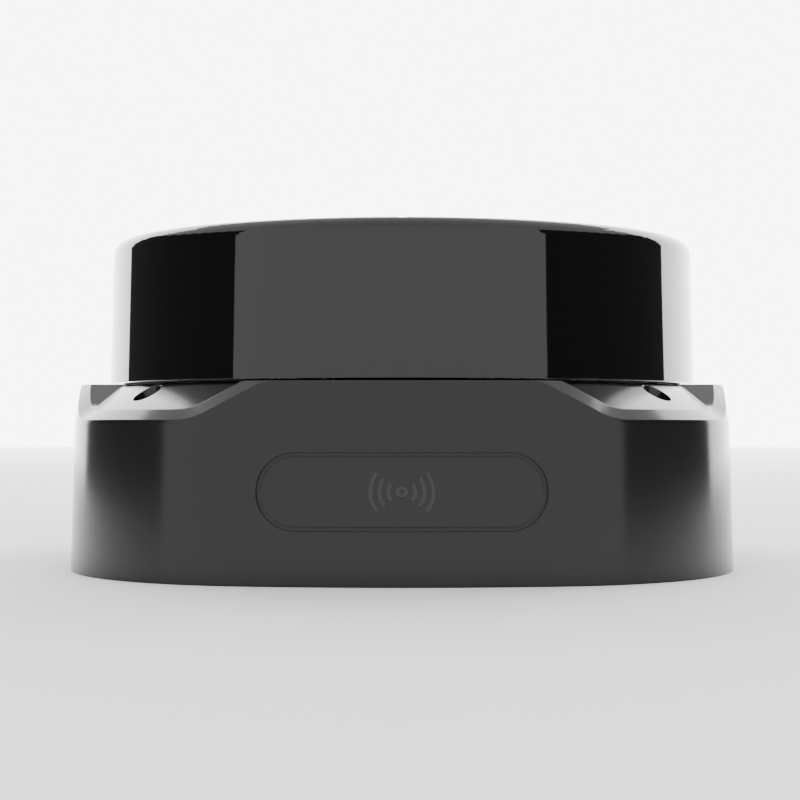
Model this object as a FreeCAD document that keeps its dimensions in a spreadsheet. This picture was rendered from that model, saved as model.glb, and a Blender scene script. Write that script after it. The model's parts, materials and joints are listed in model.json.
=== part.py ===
import FreeCAD, Part
import os
import math
import re
import Sketcher

# Scanning range finder: a square base with waved corners carries a spinning round head.
# Frame: origin on the bottom face under the spin axis, +Z up, front face towards -Y.

SIZES = {
    # outer shape of the base
    "half_width": 38.5, "face_bulge": 95.0, "corner_round": 25.0, "deck_height": 20.7,
    "lean_drop": 4.3, "wall_draft": 1.5, "upper_lean": 9.0, "base_wall": 2.2, "deck_wall": 2.0,
    # waved corners, measured in from the base's side and down from its deck
    "crest_in": 26.0, "foot_in": 15.2, "wave_round": 6.5, "rim_drop": 4.0, "rim_band": 1.1,
    "cone_inset": 3.5, "cone_slope": 30.0, "deck_round": 3.4, "deck_hole": 18.6, "drum_inset": 2.5,
    # corner screws
    "screw_in_x": 11.2, "screw_in_y": 13.7, "screw_well": 1.5, "screw_shank": 0.8,
    "screw_head": 1.35, "screw_head_tall": 1.3, "screw_seat": 7.5, "screw_tip": 0.4,
    "post_round": 3.4, "post_bite": 0.5, "way_clear": 0.05,
    # front capsule
    "capsule_length": 29.4, "capsule_width": 7.9, "capsule_height": 9.5, "groove_width": 0.45,
    "groove_depth": 0.3,
    # base plate and its mounting inserts
    "plate_gap": 0.1, "plate_thick": 2.0, "insert_span_x": 43.0, "insert_span_y": 43.0,
    "insert_outer": 2.1, "insert_thread": 1.25, "insert_length": 4.0, "insert_boss": 3.0,
    "boss_floor": 0.8,
    # main board
    "board_inset": 8.5, "board_bore": 12.5, "board_base": 5.4, "board_thick": 1.2,
    "board_screw_circle": 27.0, "board_screw": 0.8, "board_clear": 0.1, "board_screw_tall": 0.9,
    "board_screw_tip": 0.5, "stand_round": 2.24,
    # rear connector
    "plug_width": 14.6, "plug_tall": 6.0, "plug_depth": 8.0, "plug_wall": 0.7, "plug_pitch": 2.5,
    "plug_pins": 5, "pin_side": 0.64, "pin_short": 1.0, "plug_sunk": 0.9, "plug_gap": 0.05,
    "plug_floor": 1.2, "key_wide": 5.1, "key_start": 3.0,
    # spindle and bearings
    "shaft_round": 2.5, "shaft_bore": 1.2, "bearing_round": 5.0, "bearing_width": 4.0,
    "ball_round": 0.8, "ball_count": 9, "race_play": 0.02, "race_gap": 0.45, "cage_half": 0.3,
    "cage_reach": 1.2, "lower_bearing": 4.5, "upper_drop": 6.2, "tube_wall": 1.5,
    "shaft_clear": 0.9, "bearing_lip": 0.8, "flange_wide": 3.5, "flange_thick": 1.4,
    "shaft_tail": 0.9, "shaft_over": 0.6, "clip_tall": 0.4, "clip_groove": 0.3,
    "clip_slack": 0.05, "clip_wide": 0.5, "clip_mouth": 1.6,
    # motor and encoder
    "stator_round": 14.0, "stator_thick": 4.0, "stator_drop": 3.9, "tooth_count": 9,
    "tooth_width": 2.4, "core_wall": 2.0, "shoe_thick": 1.4, "shoe_gap": 1.0, "coil_grow": 0.8,
    "coil_ends": 0.25, "air_gap": 0.4, "magnet_thick": 1.2, "magnet_low": 0.4, "magnet_high": 0.8,
    "bell_wall": 1.0, "bell_lip": 1.0, "hub_drop": 0.8, "sleeve_wall": 0.6, "comb_drop": 1.6,
    "comb_count": 15, "comb_slot": 1.7, "comb_root": 0.4, "fork_long": 5.0, "fork_wide": 4.0,
    "fork_floor": 0.8, "fork_arm": 1.4, "fork_drop": 0.4, "fork_reach": 1.8,
    # contactless power and light links
    "coil_inner": 20.5, "coil_inset": 9.5, "coil_thick": 1.0, "ferrite_thick": 0.8,
    "lamp_round": 1.6, "lamp_tall": 1.2, "lamp_thin": 0.8,
    # head
    "head_gap": 0.3, "head_inset": 3.6, "head_taper": 0.4, "head_wall": 1.5, "head_round": 1.6,
    "total_height": 38.85, "crown_rise": 1.35, "platform_thick": 1.6, "hub_round": 8.0,
    "cover_gap": 0.014, "dimple_round": 1.4, "dimple_in": 2.3, "dimple_deep": 0.5,
    "cover_screw_in": 2.2, "cover_screw_long": 4.0, "cover_post": 1.92, "cover_post_gap": 0.4,
    "cover_tap": 5.0, "rotor_board_round": 26.0, "rotor_board_gap": 0.4,
    # optics in the head
    "lens_over_board": 0.5, "laser_place": 12.5, "laser_round": 3.6, "laser_length": 14.0,
    "eye_place": 7.5, "eye_round": 4.9, "eye_length": 17.0, "barrel_wall": 1.0,
    "lens_thick": 2.0, "lens_sunk": 0.5, "optics_front": 24.0, "bracket_tall": 9.6,
    "bracket_inset": 8.0, "bracket_thick": 4.0, "bracket_back": 1.0, "sensor_inset": 9.0,
    "sensor_gap": 0.6, "die_side": 4.0, "die_thick": 0.6, "diode_round": 1.9,
    "diode_sunk": 3.0, "weight_long": 15.0, "weight_wide": 5.0, "weight_tall": 6.0,
    "weight_place": 19.5,
}

# what fits, seats on or lines up with something else, worked out from the sizes above
FITS = {
    "lean_height": "deck_height - lean_drop",
    "wave_crest": "half_width - crest_in",
    "wave_foot": "half_width - foot_in",
    "rim_height": "deck_height - rim_drop",
    "cone_top": "half_width - cone_inset",
    "screw_span_x": "half_width - screw_in_x",
    "screw_span_y": "half_width - screw_in_y",
    "board_round": "half_width - board_inset",
    "upper_bearing": "deck_height - upper_drop",
    "stator_base": "upper_bearing - stator_drop",
    "bell_base": "stator_base - bell_lip",
    "bell_top": "head_bottom - hub_drop",
    "fork_tall": "bell_base - fork_drop - board_base - board_thick",
    "coil_outer": "half_width - coil_inset",
    "head_bottom": "deck_height + head_gap",
    "head_low": "half_width - head_inset",
    "head_high": "head_low - head_taper",
    "head_shoulder": "total_height - crown_rise",
    "dimple_place": "head_high - dimple_in",
    "rotor_board_base": "head_bottom + platform_thick + coil_thick + ferrite_thick",
    "lens_height": "rotor_board_base + board_thick + lens_over_board + eye_round",
}

doc = FreeCAD.newDocument("scanner")
sheet = doc.addObject("Spreadsheet::Sheet", "Sizes")
for row, alias in enumerate(SIZES, start=1):
    sheet.set("A%d" % row, alias)
    sheet.setAlias("B%d" % row, alias)
for row, content in enumerate(SIZES.values(), start=1):
    sheet.set("B%d" % row, str(content))
doc.recompute()

SUB_PARTS = {}
UP = FreeCAD.Vector(0, 0, 1)
QUARTER = math.pi / 2


def formula(text):
    """Spell out each fit in a formula, and point each size at its cell of the sheet."""
    def spell(match):
        word = match.group(0)
        if word in FITS:
            return "(%s)" % formula(FITS[word])
        return "Sizes." * (word in SIZES) + word

    return re.sub(r"[a-z]\w*", spell, str(text))


def size(text):
    """The number a formula comes to."""
    return float(sheet.evalExpression(formula(text)))


def bind(thing, prop, text):
    thing.setExpression(prop, formula(text))


def place(thing, x=0, y=0, z=0):
    """Bind a thing's place to formulas, keeping its turn."""
    for axis, text in (("x", x), ("y", y), ("z", z)):
        bind(thing, "Placement.Base." + axis, text)
    return thing


def keep(name, thing):
    """Name a finished sub-part."""
    thing.Label = name
    SUB_PARTS[name] = thing
    return thing


def cylinder(radius, height, x=0, y=0, z=0, turn=None, name="rod"):
    rod = doc.addObject("Part::Cylinder", name)
    bind(rod, "Radius", radius)
    bind(rod, "Height", height)
    if turn:
        rod.Placement.Rotation = turn
    return place(rod, x, y, z)


def block(length, width, height, x=0, y=0, z=0, name="block"):
    """A box centred on x and y that stands on z."""
    box = doc.addObject("Part::Box", name)
    bind(box, "Length", length)
    bind(box, "Width", width)
    bind(box, "Height", height)
    return place(box, "(%s) - (%s) / 2" % (x, length), "(%s) - (%s) / 2" % (y, width), z)


def cut(base, tool, name="cut"):
    piece = doc.addObject("Part::Cut", name)
    piece.Base = base
    piece.Tool = tool
    return piece


def join(things, name="joined"):
    piece = doc.addObject("Part::MultiFuse", name)
    piece.Shapes = things
    return piece


def overlap(things, name="overlap"):
    piece = doc.addObject("Part::MultiCommon", name)
    piece.Shapes = things
    return piece


def group(things, name="group"):
    piece = doc.addObject("Part::Compound", name)
    piece.Links = things
    return piece


def outline(sketch, points):
    """Draw a closed outline whose corners are pairs of formulas, each bound to the sheet."""
    count = len(points)
    values = [[size(text) for text in pair] for pair in points]
    for i in range(count):
        start = FreeCAD.Vector(*values[i], 0)
        end = FreeCAD.Vector(*values[(i + 1) % count], 0)
        sketch.addGeometry(Part.LineSegment(start, end), False)
    for i in range(count):
        sketch.addConstraint(Sketcher.Constraint("Coincident", i, 2, (i + 1) % count, 1))
    for i in range(count):
        for kind, value, text in zip(("DistanceX", "DistanceY"), values[i], points[i]):
            if str(text) == "0":
                axis = -2 if kind == "DistanceX" else -1
                sketch.addConstraint(Sketcher.Constraint("PointOnObject", i, 1, axis))
            else:
                index = sketch.addConstraint(Sketcher.Constraint(kind, -1, 1, i, 1, value))
                bind(sketch, "Constraints[%d]" % index, text)


def body_sketch(body, role, name):
    plane = [f for f in body.Origin.OriginFeatures if f.Role == role][0]
    sketch = body.newObject("Sketcher::SketchObject", name)
    sketch.AttachmentSupport = [(plane, "")]
    sketch.MapMode = "FlatFace"
    return sketch


def turned(name, points):
    """A turned body: its half section, in radius and height, spun about the Z axis."""
    body = doc.addObject("PartDesign::Body", name + "_body")
    sketch = body_sketch(body, "XZ_Plane", name + "_section")
    outline(sketch, points)
    spin = body.newObject("PartDesign::Revolution", name + "_spin")
    spin.Profile = sketch
    spin.ReferenceAxis = (sketch, ["V_Axis"])
    spin.Angle = 360
    return body


def ring(name, inner, outer, low, high):
    return turned(name, [(inner, low), (outer, low), (outer, high), (inner, high)])


def around(count, maker, name, start=0.0):
    """Copies of a piece at equal turns about the spin axis."""
    things = []
    for i in range(count):
        holder = group([maker()], name)
        holder.Placement.Rotation = FreeCAD.Rotation(UP, start + 360.0 * i / count)
        things.append(holder)
    return things


ALONG_X = FreeCAD.Rotation(FreeCAD.Vector(0, 1, 0), 90)
ALONG_Y = FreeCAD.Rotation(FreeCAD.Vector(1, 0, 0), -90)
CORNERS = [(sx, sy) for sx in (-1, 1) for sy in (-1, 1)]


def planform(name, height, inset):
    """The base's outline from above: four bulged faces joined by round corners."""
    sketch = doc.addObject("Sketcher::SketchObject", name)
    place(sketch, 0, 0, height)
    bulge = size("face_bulge - (%s)" % inset)
    corner = size("corner_round - (%s)" % inset)
    back = size("face_bulge - half_width")
    reach = (-back + (2 * (bulge - corner) ** 2 - back ** 2) ** 0.5) / 2
    half = FreeCAD.Vector(back + reach, reach, 0).getAngle(FreeCAD.Vector(1, 0, 0))
    for i in range(4):
        turn = FreeCAD.Rotation(UP, 90 * i)
        face_centre = turn.multVec(FreeCAD.Vector(-back, 0, 0))
        corner_centre = turn.multVec(FreeCAD.Vector(reach, reach, 0))
        face = Part.Circle(face_centre, UP, bulge)
        sketch.addGeometry(Part.ArcOfCircle(face, QUARTER * i - half, QUARTER * i + half), False)
        rounding = Part.Circle(corner_centre, UP, corner)
        sketch.addGeometry(Part.ArcOfCircle(rounding, QUARTER * i + half, QUARTER * (i + 1) - half), False)
    for i in range(8):
        sketch.addConstraint(Sketcher.Constraint("Tangent", i, 2, (i + 1) % 8, 1))
    for i in range(4):
        sketch.addConstraint(Sketcher.Constraint("PointOnObject", 2 * i, 3, -1 if i % 2 == 0 else -2))
        kind, sign = (("DistanceX", -1), ("DistanceY", -1), ("DistanceX", 1), ("DistanceY", 1))[i]
        index = sketch.addConstraint(Sketcher.Constraint(kind, -1, 1, 2 * i, 3, sign * back))
        bind(sketch, "Constraints[%d]" % index, "%d * (face_bulge - half_width)" % sign)
        for curve, name in ((2 * i, "face_bulge"), (2 * i + 1, "corner_round")):
            text = "%s - (%s)" % (name, inset)
            index = sketch.addConstraint(Sketcher.Constraint("Radius", curve, size(text)))
            bind(sketch, "Constraints[%d]" % index, text)
    return sketch


def drafted(name, stations):
    """A solid through planform outlines, given as pairs of height and inset."""
    loft = doc.addObject("Part::Loft", name)
    loft.Sections = [planform("%s_%d" % (name, i), z, d) for i, (z, d) in enumerate(stations)]
    loft.Solid = True
    loft.Ruled = True
    return loft


FAR = "(half_width * 1.6)"
WAVE_TOP = "(deck_height + rim_band)"
RIM_TOP = "(rim_height + rim_band)"
LEAN_INSET = "(lean_height * tan(wall_draft * 1 deg))"
TALL = "(deck_height + 2 * rim_band)"
TALL_INSET = "(%s + (%s - lean_height) * tan(upper_lean * 1 deg))" % (LEAN_INSET, TALL)


def outer_wall(name, extra="0"):
    insets = [extra, "%s + %s" % (LEAN_INSET, extra), "%s + %s" % (TALL_INSET, extra)]
    return drafted(name, list(zip(("0", "lean_height", TALL), insets)))


def wave(name, turn):
    """The space above the waved rim, as a long prism: level, falling, then level again."""
    sketch = doc.addObject("Sketcher::SketchObject", name + "_section")
    low, top = size(RIM_TOP), size(WAVE_TOP)
    crest, foot, bend = size("wave_crest"), size("wave_foot"), size("wave_round")
    far, high = size(FAR), size("deck_height * 2")
    # the slope of the common tangent of the two equal bends
    drop, run = top - low, foot - crest
    span = math.hypot(run, 2 * bend - drop)
    slope = math.asin(2 * bend / span) - math.atan2(2 * bend - drop, run)
    start = FreeCAD.Vector(crest + bend * math.sin(slope), top - bend * (1 - math.cos(slope)), 0)
    end = FreeCAD.Vector(foot - bend * math.sin(slope), low + bend * (1 - math.cos(slope)), 0)
    crest_circle = Part.Circle(FreeCAD.Vector(crest, top - bend, 0), UP, bend)
    foot_circle = Part.Circle(FreeCAD.Vector(foot, low + bend, 0), UP, bend)
    outer_spots = ((foot, low), (far, low), (far, high), (crest, high), (crest, top))
    corners = [FreeCAD.Vector(*spot, 0) for spot in outer_spots]
    sketch.addGeometry(Part.ArcOfCircle(crest_circle, QUARTER - slope, QUARTER), False)
    sketch.addGeometry(Part.LineSegment(start, end), False)
    sketch.addGeometry(Part.ArcOfCircle(foot_circle, 3 * QUARTER - slope, 3 * QUARTER), False)
    for near_end, far_end in zip(corners, corners[1:]):
        sketch.addGeometry(Part.LineSegment(near_end, far_end), False)
    rules = [
        ("Tangent", 0, 1, 1, 1), ("Tangent", 1, 2, 2, 1), ("Tangent", 2, 2, 3, 1), ("Coincident", 3, 2, 4, 1),
        ("Coincident", 4, 2, 5, 1), ("Coincident", 5, 2, 6, 1), ("Coincident", 6, 2, 0, 2),
        ("Horizontal", 3), ("Vertical", 4), ("Horizontal", 5), ("Vertical", 6),
    ]
    for rule in rules:
        sketch.addConstraint(Sketcher.Constraint(*rule))
    sketch.addConstraint(Sketcher.Constraint("Vertical", 0, 3, 0, 2))
    sizes = [
        (("Radius", 0), bend, "wave_round"), (("Radius", 2), bend, "wave_round"),
        (("DistanceX", -1, 1, 0, 2), crest, "wave_crest"), (("DistanceY", -1, 1, 0, 2), top, WAVE_TOP),
        (("DistanceX", -1, 1, 3, 1), foot, "wave_foot"),
        (("DistanceY", -1, 1, 3, 1), low, RIM_TOP), (("DistanceX", -1, 1, 3, 2), far, FAR),
        (("DistanceY", -1, 1, 4, 2), high, "deck_height * 2"),
    ]
    for parts, value, text in sizes:
        index = sketch.addConstraint(Sketcher.Constraint(*parts, value))
        bind(sketch, "Constraints[%d]" % index, text)
    prism = doc.addObject("Part::Extrusion", name)
    prism.Base = sketch
    prism.DirMode = "Custom"
    prism.Dir = UP
    prism.Solid = True
    prism.Symmetric = True
    bind(prism, "LengthFwd", "half_width * 3")
    # the section lies in XY: stand it up, then turn it to its face
    prism.Placement.Rotation = FreeCAD.Rotation(UP, turn).multiply(ALONG_Y.inverted())
    return prism


def near(value, wanted):
    return abs(value - wanted) < 1e-4


# ---- base housing -------------------------------------------------------------------------------
cone_body = turned("corner_cone", [
    ("cone_top - deck_wall", "deck_height"), ("cone_top", "deck_height"),
    (FAR, "deck_height - (%s - cone_top) * tan(cone_slope * 1 deg)" % FAR),
    (FAR, "deck_height * 2"), ("cone_top - deck_wall", "deck_height * 2"),
])
doc.recompute()
lip = [i + 1 for i, e in enumerate(cone_body.Shape.Edges)
       if e.Curve.TypeId == "Part::GeomCircle" and near(e.Curve.Radius, size("cone_top"))]
cone_spin = cone_body.Tip
soft = cone_body.newObject("PartDesign::Fillet", "cone_lip")
soft.Base = (cone_spin, ["Edge%d" % i for i in lip])
bind(soft, "Radius", "deck_round")
waves = [wave("wave_%d" % turn, turn) for turn in (0, 90, 180, 270)]
corners = overlap([join(waves[0::2], "waves_x"), join(waves[1::2], "waves_y"), cone_body], "corner_space")
plain_wall = outer_wall("shell_outside")
tall_shell = cut(plain_wall, corners, "waved_shell")
doc.recompute()

# the band runs along every level or waving edge where the wall meets the corner panels
banded = doc.addObject("Part::Chamfer", "rim_banded")
banded.Base = tall_shell
sides = [face for face in plain_wall.Shape.Faces
         if abs(face.normalAt(*[sum(face.ParameterRange[k:k + 2]) / 2 for k in (0, 2)]).z) < 0.5]
rim_edges = []
for i, edge in enumerate(tall_shell.Shape.Edges):
    halfway = (edge.FirstParameter + edge.LastParameter) / 2
    middle = edge.valueAt(halfway)
    on_wall = near(min(face.distToShape(Part.Vertex(middle))[0] for face in sides), 0)
    if on_wall and middle.z > size("rim_height + rim_band / 2") and abs(edge.tangentAt(halfway).z) < 0.8:
        rim_edges.append((i + 1, size("rim_band"), size("rim_band")))
banded.Edges = rim_edges

CAVITY_TOP = "(%s - deck_wall)" % RIM_TOP
CAVITY_INSET = "base_wall + %s * tan(wall_draft * 1 deg)" % CAVITY_TOP
cap = block("half_width * 3", "half_width * 3", TALL, z="deck_height", name="above_deck")
cavity = drafted("cavity", [("0", "base_wall"), (CAVITY_TOP, CAVITY_INSET)])
drum = cylinder("cone_top - drum_inset", "deck_height - deck_wall", name="drum_cavity")
well = cylinder("deck_hole", "deck_height * 2", name="hub_well")
screw_spots = [("%d * screw_span_x" % sx, "%d * screw_span_y" % sy) for sx, sy in CORNERS]
posts = [cylinder("post_round", "%s + post_bite - plate_thick" % CAVITY_TOP, *spot, "plate_thick",
                  name="post") for spot in screw_spots]
wells = [cylinder("screw_well", "deck_height", *spot, "screw_seat", name="screw_well")
         for spot in screw_spots]
wells += [cylinder("screw_shank + way_clear", "deck_height", *spot, "0", name="screw_way")
          for spot in screw_spots]
inside_posts = overlap([join(posts, "all_posts"), plain_wall], "posts_inside")


def stadium(name, width, length):
    """A bar with round ends that runs through the front wall."""
    half = "(((%s) - (%s)) / 2)" % (length, width)
    ends = [cylinder("(%s) / 2" % width, "half_width", "%d * %s" % (sx, half), "-half_width * 1.5",
                     "capsule_height", ALONG_Y, name) for sx in (-1, 1)]
    bar = block("2 * %s" % half, "half_width", width, y="-half_width",
                z="capsule_height - (%s) / 2" % width, name=name)
    return join(ends + [bar], name + "_shape")


# the capsule: a groove of even depth along the bulged front face
ISLAND = ("capsule_width - 2 * groove_width", "capsule_length - 2 * groove_width")
capsule = stadium("capsule", "capsule_width", "capsule_length")
band = cut(capsule, stadium("capsule_island", *ISLAND), "capsule_band")
groove = cut(band, outer_wall("groove_floor", "groove_depth"), "capsule_groove")

PLUG_BASE = "(board_base + board_thick)"
PLUG_BACK = "(half_width - plug_sunk - plug_depth)"
PLUG_MIDDLE = "%s + plug_depth / 2" % PLUG_BACK
window = block("plug_width + 2 * plug_gap", "plug_depth * 2", "plug_tall + 2 * plug_gap",
               y="%s + plug_depth" % PLUG_BACK, z="%s - plug_gap" % PLUG_BASE, name="plug_window")
hollow = cut(join([cavity, drum], "inside"), inside_posts, "inside_clear")
space = join([hollow, well, cap, groove, window] + wells, "housing_space")
keep("base_housing", cut(banded, space, "housing_cut"))

# ---- base plate, inserts and corner screws --------------------------------------------------------
PLATE_EDGE = "base_wall + plate_gap"
plate_blank = drafted("plate_blank", [
    ("0", PLATE_EDGE), ("plate_thick", "%s + plate_thick * tan(wall_draft * 1 deg)" % PLATE_EDGE)])
insert_spots = [("%d * insert_span_x / 2" % sx, "%d * insert_span_y / 2" % sy) for sx, sy in CORNERS]
board_spots = [("board_screw_circle * cos(%d deg)" % a, "board_screw_circle * sin(%d deg)" % a)
               for a in (30, 150, 270)]
bosses = [cylinder("insert_boss", "insert_length + boss_floor", *spot, "0", name="insert_boss")
          for spot in insert_spots]
stands = [cylinder("stand_round", "board_base", *spot, "0", name="board_stand") for spot in board_spots]
bores = [cylinder("insert_outer", "insert_length", *spot, "0", name="insert_bore")
         for spot in insert_spots]
bores += [cylinder("board_screw", "board_base", *spot, "plate_thick", name="board_tap")
          for spot in board_spots]
bores += [cylinder("screw_shank", "plate_thick * 2", *spot, "0", name="plate_tap") for spot in screw_spots]
plate_solid = join([plate_blank] + bosses + stands, "plate_solid")
keep("base_plate", cut(plate_solid, join(bores, "plate_bores"), "plate_cut"))


def insert(spot):
    body = cylinder("insert_outer", "insert_length", *spot, "0", name="insert_body")
    thread = cylinder("insert_thread", "insert_length * 3", *spot, "-insert_length", name="insert_thread")
    return cut(body, thread, "insert")


def screw(shank, head, tip, seat, tall, spot):
    """A pan-head screw standing up: its shank, its head and the hex socket in it."""
    stem = cylinder(shank, "(%s) - (%s)" % (seat, tip), *spot, tip, name="screw_stem")
    cup = cylinder(head, tall, *spot, seat, name="screw_cup")
    drive = doc.addObject("Part::Prism", "screw_drive")
    drive.Polygon = 6
    bind(drive, "Circumradius", "(%s) * 0.55" % head)
    bind(drive, "Height", tall)
    place(drive, *spot, "(%s) + (%s) * 0.45" % (seat, tall))
    return cut(join([stem, cup], "screw_blank"), drive, "screw")


keep("mounting_inserts", group([insert(spot) for spot in insert_spots], "inserts"))
CORNER_SCREW = ("screw_shank", "screw_head", "screw_tip", "screw_seat", "screw_head_tall")
keep("corner_screws", group([screw(*CORNER_SCREW, spot) for spot in screw_spots], "corner_screw_set"))

# ---- main board and rear connector -----------------------------------------------------------------
board_disc = ring("main_board_disc", "board_bore", "board_round", "board_base", PLUG_BASE)
board_holes = [cylinder("board_screw + board_clear", "board_thick * 3", *spot, "board_base - board_thick",
                        name="board_hole") for spot in board_spots]
keep("main_board", cut(board_disc, join(board_holes, "board_holes"), "board_cut"))
BOARD_SCREW = ("board_screw", "board_screw * 2", "plate_thick + board_screw_tip", PLUG_BASE,
               "board_screw_tall")
keep("board_screws", group([screw(*BOARD_SCREW, spot) for spot in board_spots], "board_screw_set"))


def chips(name, base, table):
    """Square chips on a board: middle x and y, length, width and height of each."""
    bars = [block(long, wide, tall, x, y, base, name) for x, y, long, wide, tall in table]
    return group(bars, name + "_set")


keep("board_chips", chips("chip", PLUG_BASE, [
    (-19, -8, 7, 7, 1.0), (19, -9, 5, 5, 0.9), (-20, 6, 4, 6, 1.2), (20, 4, 6, 4, 1.4), (-9, -22, 5, 3, 1.6),
    (9, -21, 4, 4, 0.9)]))

pins = []
for i in range(SIZES["plug_pins"]):
    pin_x = "plug_pitch * (%d - (plug_pins - 1) / 2)" % i
    blade = block("pin_side", "plug_depth - pin_short", "pin_side", pin_x,
                  "%s + (plug_depth - pin_short) / 2 - pin_side" % PLUG_BACK,
                  "%s + plug_tall / 2 - pin_side / 2" % PLUG_BASE, "pin_blade")
    tail = block("pin_side", "pin_side", "plug_tall / 2 + pin_side / 2", pin_x,
                 "%s - pin_side / 2" % PLUG_BACK, PLUG_BASE, "pin_tail")
    pins.append(join([blade, tail], "pin"))
pin_set = keep("connector_pins", group(pins, "pin_set"))
plug_outside = block("plug_width", "plug_depth", "plug_tall", 0, PLUG_MIDDLE, PLUG_BASE, "plug_outside")
plug_inside = block("plug_width - 2 * plug_wall", "plug_depth", "plug_tall - 2 * plug_wall", 0,
                    "%s + plug_floor" % PLUG_MIDDLE, "%s + plug_wall" % PLUG_BASE, "plug_inside")
key = block("key_wide", "plug_depth", "plug_wall * 2", 0, "%s + key_start" % PLUG_MIDDLE,
            "%s + plug_tall - plug_wall" % PLUG_BASE, "plug_key")
keep("connector_socket", cut(plug_outside, join([plug_inside, key, pin_set], "plug_space"), "plug_cut"))

# ---- spindle and bearings --------------------------------------------------------------------------
TUBE = "(bearing_round + tube_wall)"
SEAT_LOW_TOP = "(lower_bearing + bearing_width)"
SEAT_HIGH_TOP = "(upper_bearing + bearing_width)"
FLANGE_TOP = "plate_thick + flange_thick"
keep("spindle_housing", turned("spindle_tube", [
    ("shaft_round + shaft_clear", "plate_thick"), ("%s + flange_wide" % TUBE, "plate_thick"),
    ("%s + flange_wide" % TUBE, FLANGE_TOP), (TUBE, FLANGE_TOP), (TUBE, SEAT_HIGH_TOP),
    ("bearing_round", SEAT_HIGH_TOP), ("bearing_round", "upper_bearing"),
    ("bearing_round - bearing_lip", "upper_bearing"), ("bearing_round - bearing_lip", SEAT_LOW_TOP),
    ("bearing_round", SEAT_LOW_TOP), ("bearing_round", "lower_bearing"),
    ("shaft_round + shaft_clear", "lower_bearing"),
]))
PITCH = "((shaft_round + bearing_round) / 2)"


def track(middle, name):
    """The space the balls roll in."""
    torus = doc.addObject("Part::Torus", name)
    bind(torus, "Radius1", PITCH)
    bind(torus, "Radius2", "ball_round + race_play")
    return place(torus, 0, 0, middle)


def sphere(middle, name):
    ball = doc.addObject("Part::Sphere", name)
    bind(ball, "Radius", "ball_round")
    return place(ball, PITCH, 0, middle)


def bearing(where):
    """Both rings, the balls and the cage of one ball bearing."""
    foot = where + "_bearing"
    top = "(%s + bearing_width)" % foot
    middle = "(%s + bearing_width / 2)" % foot
    outer = ring(where + "_outer_blank", "%s + race_gap" % PITCH, "bearing_round", foot, top)
    keep(where + "_outer_ring", cut(outer, track(middle, where + "_outer_track"), where + "_outer_cut"))
    inner = ring(where + "_inner_blank", "shaft_round", "%s - race_gap" % PITCH, foot, top)
    keep(where + "_inner_ring", cut(inner, track(middle, where + "_inner_track"), where + "_inner_cut"))
    count = SIZES["ball_count"]
    balls = around(count, lambda: sphere(middle, where + "_ball"), where + "_ball_turn")
    keep(where + "_balls", group(balls, where + "_ball_set"))
    cage = ring(where + "_cage_blank", "%s - cage_half" % PITCH, "%s + cage_half" % PITCH,
                "%s - cage_reach" % middle, "%s + cage_reach" % middle)
    pockets = around(count, lambda: cylinder("ball_round + race_play", "bearing_round", "shaft_round / 2", 0,
                                             middle, ALONG_X, where + "_pocket"), where + "_pocket_turn")
    keep(where + "_cage", cut(cage, join(pockets, where + "_pockets"), where + "_cage_cut"))


bearing("lower")
bearing("upper")
SHAFT_TOP = "head_bottom + platform_thick + shaft_over"
CLIP_FOOT = "lower_bearing - clip_tall - clip_slack"
keep("shaft", turned("shaft_body", [
    ("shaft_bore", "lower_bearing - shaft_tail"), ("shaft_round", "lower_bearing - shaft_tail"),
    ("shaft_round", CLIP_FOOT), ("shaft_round - clip_groove", CLIP_FOOT),
    ("shaft_round - clip_groove", "lower_bearing"), ("shaft_round", "lower_bearing"),
    ("shaft_round", SHAFT_TOP), ("shaft_bore", SHAFT_TOP),
]))
clip_ring = ring("clip_ring", "shaft_round - clip_groove", "shaft_round + clip_wide",
                 "lower_bearing - clip_tall", "lower_bearing")
clip_mouth = block("clip_mouth", "bearing_round", "bearing_width", 0, "bearing_round / 2 + 1",
                   "lower_bearing - bearing_width / 2", "clip_mouth_space")
keep("shaft_clip", cut(clip_ring, clip_mouth, "clip_cut"))

# ---- motor -------------------------------------------------------------------------------------------
teeth = SIZES["tooth_count"]
STATOR_TOP = "(stator_base + stator_thick)"
CORE_RING = "(%s + core_wall)" % TUBE
SHOE = "(stator_round - shoe_thick)"
TOOTH_MIDDLE = "(%s + %s) / 2" % (SHOE, CORE_RING)


def tooth_bar(name, length, grow):
    """A bar along one tooth, grown above and below the core."""
    return block(length, "tooth_width", "stator_thick + 2 * %s" % grow, TOOTH_MIDDLE, 0,
                 "stator_base - %s" % grow, name)


core_disc = ring("core_disc", TUBE, "stator_round", "stator_base", STATOR_TOP)
slot_ring = ring("slot_ring", CORE_RING, SHOE, "stator_base - 1", "%s + 1" % STATOR_TOP)
bars = around(teeth, lambda: tooth_bar("tooth", "stator_round - %s" % TUBE, "core_wall"), "tooth_turn")
slots = cut(slot_ring, join(bars, "teeth"), "slots")
GAP_MIDDLE = "%s + stator_round / 2 - shoe_gap / 2" % SHOE
gaps = around(teeth, lambda: block("stator_round", "shoe_gap", "stator_thick * 2", GAP_MIDDLE, 0,
                                   "stator_base - stator_thick / 2", "shoe_gap_bar"),
              "gap_turn", 180.0 / teeth)
keep("stator_core", cut(core_disc, join([slots] + gaps, "core_space"), "core_cut"))


def winding():
    length = "%s - %s - 2 * coil_ends" % (SHOE, CORE_RING)
    coil = block(length, "tooth_width + 2 * coil_grow", "stator_thick + 2 * coil_grow", TOOTH_MIDDLE, 0,
                 "stator_base - coil_grow", "coil")
    return cut(coil, tooth_bar("coil_core", "stator_round - %s" % TUBE, "0"), "winding")


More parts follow.
